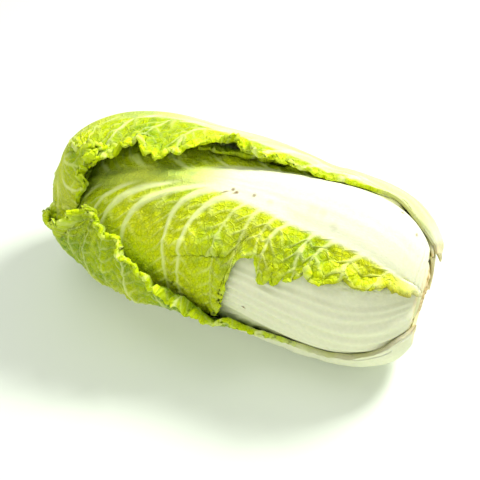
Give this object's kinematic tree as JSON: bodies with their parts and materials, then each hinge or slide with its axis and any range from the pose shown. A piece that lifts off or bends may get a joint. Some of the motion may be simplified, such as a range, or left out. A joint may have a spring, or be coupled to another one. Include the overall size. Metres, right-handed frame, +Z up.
{
  "type": "napa cabbage",
  "caption": "Whole napa cabbage lying on its side: long pale head of overlapping ribbed leaves with frilled green edges, a loose hood leaf over the tip and a cut stem.",
  "frame": {"origin": "middle of the head's overall box, on the floor it lies on", "axes": "+X from the leaf tips towards the cut stem, +Z up, -Y towards the side where two leaves part over a ribbed inner leaf"},
  "size_m": [0.3064, 0.1508, 0.1383],
  "materials": {
    "heart": "waxy leaf",
    "stem": "dry cut face",
    "leaf": "waxy leaf"
  },
  "bodies": {
    "root": {"heart": "heart", "stem": "stem", "leaf_front": "leaf", "leaf_back_low": "leaf", "leaf_top": "leaf", "leaf_back": "leaf", "leaf_bottom": "leaf", "leaf_top_back": "leaf"}
  },
  "joints": []
}
